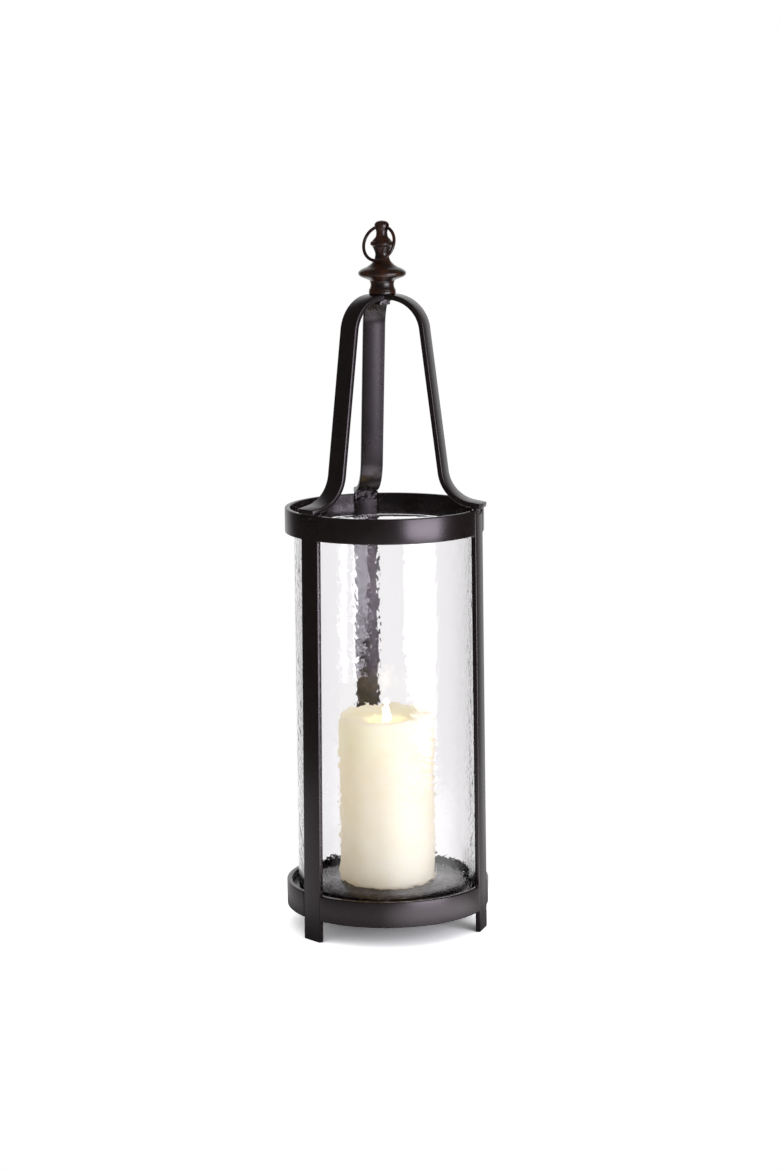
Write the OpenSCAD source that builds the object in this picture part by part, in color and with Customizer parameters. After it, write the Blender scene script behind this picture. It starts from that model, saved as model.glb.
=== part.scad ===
// Hurricane candle lantern: a welded flat-bar frame of two hoops and three legs, a three-strap
// crown with a turned finial and hanging ring, a loose glass chimney and a battery pillar candle.
// Millimetres, +Z up. Origin: floor level under the centre of the hoops. -Y is the front, with
// one leg on each side of it and the third leg behind, on +Y.

/* [Frame] */
// Outer diameter of the upper hoop
top_hoop_od = 155.6; // [152:0.2:164]
// Outer diameter of the lower hoop
base_hoop_od = 160; // [154:0.5:166]
// Height of the upper hoop's top edge above the floor
top_hoop_z = 335.3; // [260:0.5:420]
// Height of the upper hoop's band
top_hoop_h = 19.4; // [14:0.2:24]
// Height of the lower hoop's top edge above the floor
base_hoop_z = 37.5; // [32:0.5:44]
// Height of the lower hoop's band
base_hoop_h = 20.3; // [16:0.1:24]
// Thickness of the flat bar of hoops, legs and straps
bar_t = 4; // [3:0.1:5]
// Width of the three legs
leg_w = 18.8; // [16:0.2:22]
// How far each leg's end stops under the upper hoop's top edge
leg_drop = 4.2; // [2:0.2:8]

/* [Crown] */
// Width of the three straps
strap_w = 17.6; // [14:0.2:20]
// Height of the crown, where the straps meet, above the upper hoop
crown_h = 164.7; // [150:0.1:175]
// How far from the axis the straps stay flat before they bend down
crown_flat = 6.8; // [5:0.1:9]
// Middle radius of the bend at the crown
crown_bend = 27.4; // [22:0.2:30]
// Middle radius of the flare above the hoop
flare_bend = 27.6; // [22:0.2:30]
// Slope of a strap's foot, degrees
foot_slope = 10; // [6:0.5:14]
// Length of a strap's straight foot
foot_len = 9.9; // [8:0.1:13]
// How far a strap's foot reaches past the hoop
foot_reach = 2.8; // [1:0.1:4]
// Diameter of the finial's stud
stud_d = 6; // [5:0.5:8]

/* [Finial and ring] */
// Overall height of the finial
finial_h = 56.4; // [54:0.1:62]
// Diameter of the finial's flange
flange_d = 37; // [32:0.2:40]
// Outer diameter of the hanging ring
ring_od = 30; // [29:0.1:30.5]
// Diameter of the hanging ring's wire
ring_wire = 2.5; // [2:0.1:2.8]
// Direction the ring leans to, degrees round from the front
ring_turn = -45; // [-180:1:180]
// Lean of the hanging ring from straight down, degrees
ring_lean = 19; // [18:0.1:24]

/* [Base and glass] */
// Depth of the plate's outer part under the lower hoop's top edge
plate_drop = 5.2; // [4:0.1:6.5]
// Sheet thickness of the plate
plate_t = 1.5; // [1:0.1:2]
// Height of the raised middle of the plate
dais_h = 3.4; // [2.5:0.1:5]
// Air between the hoops and the glass chimney all round
glass_gap = 3; // [2:0.1:6]
// Wall of the glass chimney
glass_t = 4; // [3:0.1:5]
// Air between the glass and the plate's raised middle
dais_gap = 2.7; // [1.5:0.1:6]
// How far the glass reaches up into the upper hoop
glass_in = 3.2; // [0:0.1:6]

/* [Candle] */
// Diameter of the pillar candle
candle_d = 76; // [70:0.5:80]
// Height of the pillar candle
candle_h = 134; // [125:0.5:180]
// Width of the candle's flame tongue
flame_w = 8; // [6:0.2:9]
// Height of the flame's tip above the candle's rim
flame_up = 12.6; // [8:0.1:18]

/* [Hidden] */
$fn = 96;
bend_steps = 28;     // flat steps in each bend of a strap
seat = 0.3;          // air under a loose part where it stands
touch = 0.1;         // air between welded parts that a bead closes
step = 0.02;         // sliver between parts of one body
far = 400;           // longer than anything it cuts
leg_turns = [-60, 60, 180];

top_r = top_hoop_od / 2;
base_r = base_hoop_od / 2;
top_mid = top_hoop_z - top_hoop_h / 2;
base_mid = base_hoop_z - base_hoop_h / 2;
splay = atan((base_r - top_r) / (top_mid - base_mid));
leg_top = top_hoop_z - leg_drop;
// distance of a leg's flat outer face from the axis, its long edges flush with the hoop
function leg_face(r) = sqrt(r * r - leg_w * leg_w / 4);

crown_z = top_hoop_z + crown_h;
crown_mid = crown_z - bar_t / 2;
foot_rise = 0.7;     // weld metal under the tip of a strap's foot
tip_r = top_r + foot_reach;
tip_z = top_hoop_z + bar_t / 2 + foot_rise;
// middles of a strap's two bends; its straight part is the line that touches both
foot_in = [tip_r - foot_len * cos(foot_slope), tip_z + foot_len * sin(foot_slope)];
flare_c = foot_in + flare_bend * [sin(foot_slope), cos(foot_slope)];
crown_c = [crown_flat, crown_mid - crown_bend];
between = crown_c - flare_c;
strap_lean = atan(-between[0] / between[1]) - asin((flare_bend + crown_bend) / norm(between));
strap_up = 90 - strap_lean;
stud_hole = stud_d / 2 + touch;

finial_top = crown_z + finial_h;
hole_drop = 5;       // ring's hole under the finial's top
hole_z = finial_top - hole_drop;
hole_r = 2.3;
ring_mid = (ring_od - ring_wire) / 2;
ring_rise = 0.6;     // wire's top above the hole's axis
stud_in = 16;        // stud's length inside the finial
stud_out = 0.4;      // stud's end under the nut
nut_h = 3;
washer_h = 1;
washer_r = stud_d / 2 + 4;

bead_r = 1.5;        // weld beads in the hoops' corners
plate_bead_r = 3;    // weld beads under the plate
fill_h = 5;          // height of the weld fillings above the upper hoop
fill_r = 2.3;        // lumps on their inner side

plate_z = base_hoop_z - plate_drop;
plate_gap = 0.25;    // air between the plate and the legs
plate_r = leg_face(base_r) - bar_t - plate_gap;
dais_z = plate_z + dais_h;
dais_step = 1.6;     // width of the slope round the raised middle
glass_z = plate_z + seat;
glass_h = top_hoop_z - top_hoop_h + glass_in - glass_z;
glass_r = min(top_r, base_r) - bar_t - glass_gap;
glass_ease = 1.4;    // width of the chamfer on the glass's rims
dais_r = glass_r - glass_t - dais_gap - dais_step;

candle_z = dais_z + seat;
candle_r = candle_d / 2;
wax_edge = 4.5;      // rounding of the candle's lower edge
wax_wall = 8;        // wax between the candle's side and its light unit
cap_r = candle_r - wax_wall;
cavity_r = cap_r + touch;
core_gap = 0.2;
core_r = cap_r - core_gap;
core_wall = 2;
core_drop = 34;      // light unit's top under the candle's rim
core_top = candle_h - core_drop;
cap_z = 1;
cap_t = 3;
bowl_r = 14.5;       // radius of the little well round the flame
bowl_drop = 19;      // depth of that well under the candle's rim
bowl_z = candle_h - bowl_drop;
neck_r = 6.2;        // tube that carries the flame's wire
neck_in = 4.6;
pin_z = core_top + 8;
pin_r = 0.5;
flame_t = 1.6;
door_edge = 9.3;     // ring of the cap round the door
door_r = cap_r - door_edge;
switch_edge = 5.4;   // switch's middle from the cap's edge
switch_at = cap_r - switch_edge;
switch_go = 4;       // travel of the switch
switch_w = 3;
switch_l = 5;
door_in = 0.4;       // how far the door lies inside the cap
slot_l = 16;         // coin slot in the door
slot_w = 2;
slot_t = 1.2;

paint = [0.11, 0.09, 0.09];
bronze = [0.20, 0.12, 0.09];
bead = [0.15, 0.13, 0.12];
wax = [0.96, 0.91, 0.80];
plastic = [0.88, 0.87, 0.84];

// ---- shared shapes

// turns its children from the front (-Y) round the axis; +X of the children points outwards
module facing(turn) {
    rotate([0, 0, turn - 90]) children();
}

// one third of a hoop, between the side faces of two legs
module hoop_arc(r, z, h, turn) {
    difference() {
        translate([0, 0, z - h]) cylinder(r = r, h = h);
        translate([0, 0, z - h - 1]) cylinder(r = r - bar_t, h = h + 2);
        for (side = [-1, 1])
            facing(turn + side * 60)
                translate([-far, side > 0 ? -leg_w / 2 : -far + leg_w / 2, z - h - 1])
                    cube([2 * far, far, h + 2]);
    }
}

// a leg: one flat bar from the floor to just under the upper hoop's edge
module leg(turn) {
    facing(turn) difference() {
        translate([leg_face(base_r), 0, base_mid]) rotate([0, -splay, 0])
            translate([-bar_t, -leg_w / 2, -base_mid - 5])
                cube([bar_t, leg_w, leg_top + 10]);
        translate([0, -far / 2, -far]) cube([far, far, far]);
        translate([0, -far / 2, leg_top]) cube([far, far, far]);
    }
}

// quarter-ball weld beads in the corners between a hoop's edge and the legs' sides
module corner_beads(r, z, up, size) {
    for (turn = leg_turns, side = [-1, 1])
        facing(turn) intersection() {
            translate([leg_face(r) - bar_t / 2, side * leg_w / 2, z]) sphere(r = size, $fn = 32);
            translate([0, side > 0 ? leg_w / 2 : -leg_w / 2 - far, up > 0 ? z : z - far])
                cube([far, far, far]);
        }
}

// points of the strap's edge on one side of its middle line, from the foot's tip to the crown
function strap_side(off) = concat(
    [[tip_r, tip_z] + off * [sin(foot_slope), cos(foot_slope)]],
    [for (k = [0:bend_steps]) let (a = foot_slope + (strap_up - foot_slope) * k / bend_steps)
        flare_c - (flare_bend - off) * [sin(a), cos(a)]],
    [for (k = [0:bend_steps]) let (a = strap_up * (1 - k / bend_steps))
        crown_c + (crown_bend + off) * [sin(a), cos(a)]],
    [[-strap_w, crown_mid + off]]);

function reverse(list) = [for (k = [len(list) - 1:-1:0]) list[k]];

// a whole strap: foot, flare, straight, crown bend and mitred end round the stud
module strap(turn) {
    facing(turn) difference() {
        rotate([90, 0, 0]) translate([0, 0, -strap_w / 2]) linear_extrude(strap_w)
            polygon(concat(strap_side(bar_t / 2), reverse(strap_side(-bar_t / 2))));
        for (side = [-1, 1])
            rotate([0, 0, side * 60]) translate([-far, side > 0 ? -touch / 2 : -far + touch / 2, 0])
                cube([2 * far, far, 2 * far]);
        translate([0, 0, crown_z - bar_t - 1]) cylinder(r = stud_hole, h = bar_t + 2);
    }
}

// ---- frame

module base_hoop_front() color(paint) hoop_arc(base_r, base_hoop_z, base_hoop_h, 0);
module base_hoop_right() color(paint) hoop_arc(base_r, base_hoop_z, base_hoop_h, 120);
module base_hoop_left() color(paint) hoop_arc(base_r, base_hoop_z, base_hoop_h, -120);
module top_hoop_front() color(paint) hoop_arc(top_r, top_hoop_z, top_hoop_h, 0);
module top_hoop_right() color(paint) hoop_arc(top_r, top_hoop_z, top_hoop_h, 120);
module top_hoop_left() color(paint) hoop_arc(top_r, top_hoop_z, top_hoop_h, -120);
module leg_front_left() color(paint) leg(-60);
module leg_front_right() color(paint) leg(60);
module leg_back() color(paint) leg(180);
module base_hoop_welds() color(bead) corner_beads(base_r, base_hoop_z, 1, bead_r);
module top_hoop_welds() color(bead) corner_beads(top_r, top_hoop_z - top_hoop_h, -1, bead_r);

// the pressed plate: a low rim inside the lower hoop and a raised round middle
module base_plate() color(paint) rotate_extrude(convexity = 4)
    polygon([[0, dais_z], [dais_r - 1, dais_z], [dais_r, dais_z - 0.8],
        [dais_r + 0.6, plate_z + 0.6], [dais_r + dais_step, plate_z], [plate_r, plate_z],
        [plate_r, plate_z - plate_t], [dais_r, plate_z - plate_t],
        [dais_r - 1, dais_z - plate_t], [0, dais_z - plate_t]]);

// short beads that hold the plate to the lower hoop from underneath
module plate_welds() color(bead) for (turn = [-100, -20, 20, 100, 140, 220])
    facing(turn) intersection() {
        translate([plate_r, 0, plate_z - plate_t]) sphere(r = plate_bead_r, $fn = 32);
        translate([0, -far / 2, plate_z - plate_t - far]) cube([base_r - bar_t - touch, far, far]);
    }

// ---- crown

module strap_front_left() color(paint) strap(-60);
module strap_front_right() color(paint) strap(60);
module strap_back() color(paint) strap(180);

// lumpy weld metal that fills the pocket between each leg's end and the strap's foot
module strap_welds() color(bead) for (turn = leg_turns)
    facing(turn) difference() {
        intersection() {
            union() {
                translate([leg_face(top_r) - bar_t - 0.6, -leg_w / 2 + 0.4, leg_top])
                    cube([bar_t + 0.6, leg_w - 0.8, leg_drop + fill_h]);
                for (k = [-2:2])
                    translate([leg_face(top_r) - bar_t + 0.2, k * 3.6, leg_top + 2.6 + 0.5 * (k % 2)])
                        sphere(r = fill_r, $fn = 32);
            }
            translate([0, -leg_w / 2 + 0.2, leg_top + step]) cube([far, leg_w - 0.4, leg_drop + 8]);
        }
        translate([tip_r, 0, tip_z]) rotate([0, foot_slope, 0])
            translate([-far / 2, -far / 2, -bar_t / 2]) cube([far, far, far]);
    }

module crown_washer() color(bronze) translate([0, 0, crown_z - bar_t - washer_h])
    difference() {
        cylinder(r = washer_r, h = washer_h);
        translate([0, 0, -1]) cylinder(r = stud_hole, h = washer_h + 2);
    }

module crown_nut() color(bronze) translate([0, 0, crown_z - bar_t - washer_h - nut_h])
    difference() {
        cylinder(r = stud_d, h = nut_h, $fn = 6);
        translate([0, 0, -1]) cylinder(r = stud_d / 2 + step, h = nut_h + 2);
    }

module finial_stud() color(bronze)
    translate([0, 0, crown_z - bar_t - washer_h - nut_h - stud_out])
        cylinder(d = stud_d, h = bar_t + washer_h + nut_h + stud_out + stud_in);

// smooth curve through stations, with a number of steps between each two
function curve(p, steps) = concat([for (k = [0:len(p) - 2], i = [0:steps - 1])
    let (t = i / steps, a = p[max(k - 1, 0)], b = p[k], c = p[k + 1], d = p[min(k + 2, len(p) - 1)])
    b + t / 2 * (c - a + t * (2 * a - 5 * b + 4 * c - d + t * (3 * b - a - 3 * c + d)))],
    [p[len(p) - 1]]);

// turned profile: height in percent of the finial's, radius in percent of the flange's
function collar() = [[0, 0], [0, 56], [4, 57], [4.8, 54.5], [5.6, 56.5]];
function vase() = curve([[6, 56], [9, 51], [13, 48.7], [17, 51], [19, 55], [21, 69], [23, 85],
    [25, 95], [28, 100], [31, 97], [34, 85], [37, 64.5], [41, 47], [46, 34.5], [53, 28.5],
    [58, 31], [65, 40.5]], 3);
function bead_ring() = curve([[65.5, 43], [67, 47.5], [69, 48.7], [71.5, 45.5]], 2);
function head() = curve([[72, 41.5], [75, 34], [78, 26], [82, 23.5], [86, 24.2], [90, 28.5],
    [93.5, 30.4], [96.5, 27.5], [98.8, 18], [100, 0]], 3);

module finial() color(bronze) difference() {
    rotate_extrude() polygon([for (p = concat(collar(), vase(), bead_ring(), head()))
        [p[1] * flange_d / 200, crown_z + p[0] * finial_h / 100]]);
    facing(ring_turn) translate([0, far / 2, hole_z]) rotate([90, 0, 0])
        cylinder(r = hole_r, h = far, $fn = 48);
    translate([0, 0, crown_z - 1]) cylinder(r = stud_d / 2 + step, h = stud_in + 1 + touch);
}

module hanging_ring() color(bronze)
    translate([0, 0, hole_z]) facing(ring_turn) rotate([0, -ring_lean, 0])
        translate([0, 0, ring_rise - ring_mid]) rotate([0, 90, 0])
            rotate_extrude() translate([ring_mid, 0]) circle(d = ring_wire, $fn = 32);

// ---- glass and candle

module glass_chimney() color([0.85, 0.9, 0.9, 0.35]) translate([0, 0, glass_z])
    rotate_extrude(convexity = 4) difference() {
        translate([glass_r - glass_t, 0]) square([glass_t, glass_h]);
        translate([glass_r, 0]) rotate(45) square(glass_ease, center = true);
        translate([glass_r, glass_h]) rotate(45) square(glass_ease, center = true);
        translate([glass_r - glass_t, glass_h]) rotate(45) square(glass_ease, center = true);
    }

module candle_wax() color(wax) translate([0, 0, candle_z]) difference() {
    rotate_extrude(convexity = 6) polygon(concat(
        [for (a = [0:10:90]) [candle_r - wax_edge + wax_edge * sin(a), wax_edge - wax_edge * cos(a)]],
        [for (a = [0:15:90]) [candle_r - 2.5 + 2.5 * cos(a), candle_h - 2.5 + 2.5 * sin(a)]],
        [[candle_r - 4, candle_h - 0.6], [candle_r - 8, candle_h - 4.5],
            [candle_r - 14, candle_h - 7.5], [bowl_r + 2, candle_h - 9],
            [bowl_r, candle_h - 10.5], [bowl_r - 1.5, bowl_z + 1.5], [bowl_r - 3, bowl_z],
            [neck_r + touch, bowl_z], [neck_r + touch, core_top + touch],
            [cavity_r, core_top + touch], [cavity_r, 0]]));
    for (k = [0:6])
        rotate([0, 0, k * 51 + 9 * sin(k * 80)])
            translate([candle_r + 4 + 3 * sin(k * 130), 0, candle_h + 11.5 + 0.8 * sin(k * 97)])
                sphere(r = 13, $fn = 48);
}

// hollow body of the light unit, closed on top, with the short tube of the flame
module candle_core() color(plastic) translate([0, 0, candle_z]) difference() {
    rotate_extrude(convexity = 6) polygon([[core_r - core_wall, cap_z + cap_t], [core_r, cap_z + cap_t],
        [core_r, core_top], [neck_r, core_top], [neck_r, bowl_z - 0.5], [neck_in, bowl_z - 0.5],
        [neck_in, core_top - 3], [core_r - core_wall, core_top - 3]]);
    translate([-neck_r - 1, 0, pin_z]) rotate([0, 90, 0])
        cylinder(r = pin_r + step, h = 2 * neck_r + 2, $fn = 24);
}

module candle_cap() color(plastic) translate([0, 0, candle_z + cap_z]) difference() {
    cylinder(r = cap_r, h = cap_t - step);
    translate([0, 0, -1]) cylinder(r = door_r + seat, h = cap_t + 2);
    translate([-(switch_l + switch_go) / 2 - seat, switch_at - switch_w / 2 - seat, -1])
        cube([switch_l + switch_go + 2 * seat, switch_w + 2 * seat, cap_t + 2]);
}

module candle_door() color(plastic) translate([0, 0, candle_z + cap_z]) difference() {
    cylinder(r = door_r, h = cap_t - door_in);
    translate([-slot_l / 2, -slot_w / 2, -1]) cube([slot_l, slot_w, slot_t + 1]);
}

module candle_switch() color([0.15, 0.15, 0.16]) translate([0, 0, candle_z + cap_z]) {
    translate([-(switch_l + switch_go) / 2, switch_at - switch_w / 2, 0.4])
        cube([switch_l, switch_w, cap_t + seat]);
    translate([-(switch_l + switch_go) / 2 - 2.5, switch_at - switch_w / 2 - 0.8, cap_t + seat])
        cube([switch_l + 5, switch_w + 1.6, 1.2]);
}

module flame_wire() color([0.7, 0.7, 0.68])
    translate([-neck_r + touch, 0, candle_z + pin_z]) rotate([0, 90, 0])
        cylinder(r = pin_r, h = 2 * (neck_r - touch), $fn = 24);

// half width of the flame tongue at a height t from 0 (base) to 1 (tip)
function flame_half(t) = flame_w / 2 * pow(sin(180 * pow(t, 0.72)), 0.8) * (1 - 0.15 * t);

module candle_flame() color([1, 0.93, 0.72]) translate([0, 0, candle_z]) difference() {
    base = candle_h - 12;
    tall = 12 + flame_up;
    union() {
        translate([-2.6, -flame_t / 2, core_top + 3]) cube([5.2, flame_t, base - core_top]);
        rotate([90, 0, 0]) translate([0, 0, -flame_t / 2]) linear_extrude(flame_t)
            polygon(concat(
                [for (t = [0.04:0.04:0.96]) [flame_half(t), base + t * tall]],
                [[0, base + tall]],
                [for (t = [0.96:-0.04:0.04]) [-flame_half(t), base + t * tall]]));
    }
    translate([-10, 0, pin_z]) rotate([0, 90, 0]) cylinder(r = pin_r + 0.08, h = 20, $fn = 24);
}

base_hoop_front();
base_hoop_right();
base_hoop_left();
top_hoop_front();
top_hoop_right();
top_hoop_left();
leg_front_left();
leg_front_right();
leg_back();
base_hoop_welds();
top_hoop_welds();
plate_welds();
base_plate();
strap_front_left();
strap_front_right();
strap_back();
strap_welds();
crown_washer();
crown_nut();
finial_stud();
finial();
hanging_ring();
glass_chimney();
candle_wax();
candle_core();
candle_cap();
candle_door();
candle_switch();
flame_wire();
candle_flame();
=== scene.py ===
"""Hurricane candle lantern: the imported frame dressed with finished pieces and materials."""

import logging
from collections.abc import Iterable, Sequence
from dataclasses import dataclass
from enum import Enum
from math import asin, atan2, cos, degrees, hypot, pi, radians, sin, sqrt
from typing import Any

import bmesh
import bpy
from bmesh.types import BMEdge, BMesh, BMVert
from bpy.types import Material, Node, NodeSocket, NodeTree, Object
from mathutils import Matrix, Vector, noise


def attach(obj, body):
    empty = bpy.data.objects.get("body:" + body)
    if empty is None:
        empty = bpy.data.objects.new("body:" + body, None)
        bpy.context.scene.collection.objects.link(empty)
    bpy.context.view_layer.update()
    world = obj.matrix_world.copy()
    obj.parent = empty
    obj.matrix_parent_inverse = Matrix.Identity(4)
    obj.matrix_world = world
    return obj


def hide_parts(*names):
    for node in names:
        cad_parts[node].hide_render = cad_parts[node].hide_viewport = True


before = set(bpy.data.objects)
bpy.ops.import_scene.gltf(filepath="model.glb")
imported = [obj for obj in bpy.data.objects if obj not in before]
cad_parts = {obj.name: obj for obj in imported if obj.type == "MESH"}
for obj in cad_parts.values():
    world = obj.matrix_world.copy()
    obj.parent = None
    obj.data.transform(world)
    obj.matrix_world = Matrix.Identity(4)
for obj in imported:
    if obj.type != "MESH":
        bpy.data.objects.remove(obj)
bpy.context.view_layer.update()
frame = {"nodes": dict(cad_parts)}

log = logging.getLogger("lantern")
Pair = tuple[float, float]
RGBA = tuple[float, float, float, float]
MM = 0.001
UP = Vector((0, 0, 1))
WHITE = (1.0, 1.0, 1.0, 1.0)
LENGTH = {"operation": "LENGTH"}
# The part of a noise's range that most of it lies in
CLOUD = (0.3, 0.7)


class Leg(Enum):
    """The three legs, each with its turn round the axis from the front, in degrees."""

    FRONT_LEFT = -60
    FRONT_RIGHT = 60
    BACK = 180


class Span(Enum):
    """The three arcs of a hoop, each with the turn of its middle, in degrees."""

    FRONT = 0
    RIGHT = 120
    LEFT = -120


# ---- helpers


def outward(turn: float) -> Matrix:
    """Turns +X outwards at a place round the axis.

    Args:
        turn: degrees round from the front (-Y), positive towards +X.

    Returns:
        The rotation about Z.
    """
    return Matrix.Rotation(radians(turn - 90), 4, "Z")


def ease(bm: BMesh, size: float, segments: int = 3, limit: float = 30) -> None:
    """Turns a mesh's faces outwards and rounds its sharp edges.

    Args:
        bm: the mesh.
        size: width of the rounding.
        segments: faces across it.
        limit: the least fold that counts as sharp, in degrees.
    """
    bmesh.ops.recalc_face_normals(bm, faces=bm.faces[:])
    sharp = [e for e in bm.edges if e.is_manifold and e.calc_face_angle(0) > radians(limit)]
    bmesh.ops.bevel(
        bm, geom=sharp, offset=size, offset_type="OFFSET", segments=segments,
        profile=0.5, affect="EDGES", clamp_overlap=True, material=-1,
    )


def trim(bm: BMesh, point: Vector, normal: Vector) -> None:
    """Cuts off what lies beyond a plane and closes the cut.

    Args:
        bm: the mesh.
        point: a point on the plane.
        normal: points to the side that goes.
    """
    cut = bmesh.ops.bisect_plane(
        bm, geom=[*bm.verts, *bm.edges, *bm.faces], dist=1e-7,
        plane_co=point, plane_no=normal, clear_outer=True,
    )
    rim = [g for g in cut["geom_cut"] if isinstance(g, BMEdge)]
    bmesh.ops.holes_fill(bm, edges=rim, sides=0)


def section(bm: BMesh, across: float, thick: float, place: Matrix) -> list[Any]:
    """Lays a flat bar's cross-section as one face.

    Args:
        bm: the mesh that gets the face.
        across: the section's size along its own Y.
        thick: the section's size along its own X.
        place: where the section's middle goes, its own Z along the bar.

    Returns:
        The face with its edges and vertices.
    """
    made = bmesh.ops.create_grid(bm, x_segments=1, y_segments=1, size=0.5)["verts"]
    bmesh.ops.transform(bm, matrix=place @ Matrix.Diagonal((thick, across, 1, 1)), verts=made)
    faces = {f for v in made for f in v.link_faces}
    return [*faces, *{e for f in faces for e in f.edges}, *made]


def run_on(bm: BMesh, end: list[Any], step: Vector) -> list[Any]:
    """Extrudes the end of a bar straight on.

    Args:
        bm: the mesh.
        end: the end's geometry.
        step: how far and where to.

    Returns:
        The new end's geometry.
    """
    made = bmesh.ops.extrude_face_region(bm, geom=end)["geom"]
    bmesh.ops.translate(bm, vec=step, verts=[g for g in made if isinstance(g, BMVert)])
    return made


def bend_on(
    bm: BMesh, end: list[Any], centre: Vector, axis: Vector, angle: float, steps: int
) -> list[Any]:
    """Spins the end of a bar round a bend.

    Args:
        bm: the mesh.
        end: the end's geometry.
        centre: a point on the bend's axis.
        axis: direction of the bend's axis.
        angle: how far, in degrees.
        steps: faces along the bend.

    Returns:
        The new end's geometry.
    """
    return bmesh.ops.spin(
        bm, geom=end, cent=centre, axis=axis, angle=radians(angle), steps=steps,
        use_merge=False, use_duplicate=False,
    )["geom_last"]


def lathe(
    bm: BMesh, profile: Sequence[Pair], steps: int, closed: bool = False
) -> None:
    """Turns a profile once round the Z axis.

    Args:
        bm: the mesh.
        profile: (radius, height) points.
        steps: faces round the axis.
        closed: whether the profile's last point joins its first.
    """
    dots = [bm.verts.new((r, 0, z)) for r, z in profile]
    pairs = list(zip(dots, dots[1:])) + ([(dots[-1], dots[0])] if closed else [])
    edges = [bm.edges.new(pair) for pair in pairs]
    bmesh.ops.spin(
        bm, geom=[*dots, *edges], cent=(0, 0, 0), axis=UP, angle=2 * pi, steps=steps,
        use_merge=True, use_duplicate=False,
    )
    bmesh.ops.remove_doubles(bm, verts=bm.verts[:], dist=1e-6)
    bmesh.ops.recalc_face_normals(bm, faces=bm.faces[:])


def smooth_line(dots: Sequence[Pair], parts: int) -> list[Pair]:
    """Rounds a line of points with a Catmull-Rom curve.

    Args:
        dots: the points.
        parts: pieces between two neighbours.

    Returns:
        The finer line, through all the points.
    """
    ends = [dots[0], *dots, dots[-1]]
    line = []
    for a, b, c, d in zip(ends, ends[1:], ends[2:], ends[3:]):
        for k in range(parts):
            t = k / parts
            line.append(tuple(
                0.5 * (2 * q + (r - p) * t + (2 * p - 5 * q + 4 * r - s) * t**2
                       + (3 * q - p - 3 * r + s) * t**3)
                for p, q, r, s in zip(a, b, c, d)
            ))
    return [*line, dots[-1]]


def lumps(bm: BMesh, size: float, depth: float, seed: float) -> None:
    """Moves a mesh's vertices along their normals by smooth noise.

    Args:
        bm: the mesh.
        size: distance between lumps.
        depth: greatest move.
        seed: picks the noise.
    """
    bm.normal_update()
    for v in bm.verts:
        v.co += v.normal * depth * noise.noise(v.co / size + Vector((seed, seed, seed)))


def merge_in(bm: BMesh, other: BMesh) -> None:
    """Adds a mesh to another and frees it.

    Args:
        bm: the mesh that grows.
        other: the mesh that goes in.
    """
    holder = bpy.data.meshes.new("holder")
    other.to_mesh(holder)
    other.free()
    bm.from_mesh(holder)
    bpy.data.meshes.remove(holder)


def stand(name: str, bm: BMesh) -> Object:
    """Makes an object of a mesh and frees the mesh.

    Args:
        name: the object's name.
        bm: the mesh in metres.

    Returns:
        The object, in the scene.
    """
    mesh = bpy.data.meshes.new(name)
    bm.to_mesh(mesh)
    bm.free()
    made = bpy.data.objects.new(name, mesh)
    bpy.context.scene.collection.objects.link(made)
    return made


def finish_piece(
    name: str,
    bm: BMesh,
    material: Material,
    nodes: Iterable[str],
    body: str = "frame",
    crease: float = 40,
) -> Object:
    """Makes a mesh a finished piece of the lantern.

    Args:
        name: the piece's name.
        bm: its mesh in millimetres, in place. It is freed.
        material: its finish.
        nodes: the CAD nodes that it stands for.
        body: the body that it rides on.
        crease: edges that fold more than this stay sharp, in degrees.

    Returns:
        The new object.
    """
    bmesh.ops.scale(bm, vec=(MM, MM, MM), verts=bm.verts[:])
    piece = stand(name, bm)
    piece.data.shade_smooth()
    piece.data.set_sharp_from_angle(angle=radians(crease))
    piece.data.materials.append(material)
    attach(piece, body)
    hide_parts(*nodes)
    log.info("%s: %d faces on %s", name, len(piece.data.polygons), body)
    return piece


def dress(node: str, material: Material) -> None:
    """Gives a CAD node that stays in view its finish.

    Args:
        node: the node's name.
        material: its finish.
    """
    for slot in frame["nodes"][node].material_slots:
        slot.material = material
    log.info("%s: CAD node dressed in %s", node, material.name)


# ---- finishes


def tint(code: str) -> RGBA:
    """Turns an sRGB hex colour to linear.

    Args:
        code: six hex digits.

    Returns:
        Linear red, green, blue and alpha.
    """
    parts = [int(code[k:k + 2], 16) / 255 for k in (0, 2, 4)]
    red, green, blue = (c / 12.92 if c <= 0.04045 else ((c + 0.055) / 1.055) ** 2.4 for c in parts)
    return red, green, blue, 1.0


def add(tree: NodeTree, kind: str, settings: dict[str, Any] | None = None, **sockets: Any) -> Node:
    """Adds a node with its settings, values and links.

    Args:
        tree: the node tree.
        kind: the node's type, without the ShaderNode prefix.
        settings: attributes of the node.
        sockets: input values or the output sockets to link; underscores stand for spaces, and
            a name such as n1 means the input with that number.

    Returns:
        The new node.
    """
    node = tree.nodes.new("ShaderNode" + kind)
    for key, value in (settings or {}).items():
        setattr(node, key, value)
    for key, value in sockets.items():
        plain = key[0] == "n" and key[1:].isdigit()
        socket = node.inputs[int(key[1:])] if plain else node.inputs[key.replace("_", " ")]
        if isinstance(value, NodeSocket):
            tree.links.new(value, socket)
        else:
            socket.default_value = value
    return node


def blank(name: str) -> tuple[Material, NodeTree, NodeSocket]:
    """Starts a material.

    Args:
        name: the material's name.

    Returns:
        The material, its empty node tree and its Object coordinates.
    """
    material = bpy.data.materials.new(name)
    material.use_nodes = True
    material.node_tree.nodes.clear()
    tree = material.node_tree
    return material, tree, add(tree, "TexCoord").outputs["Object"]


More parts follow.
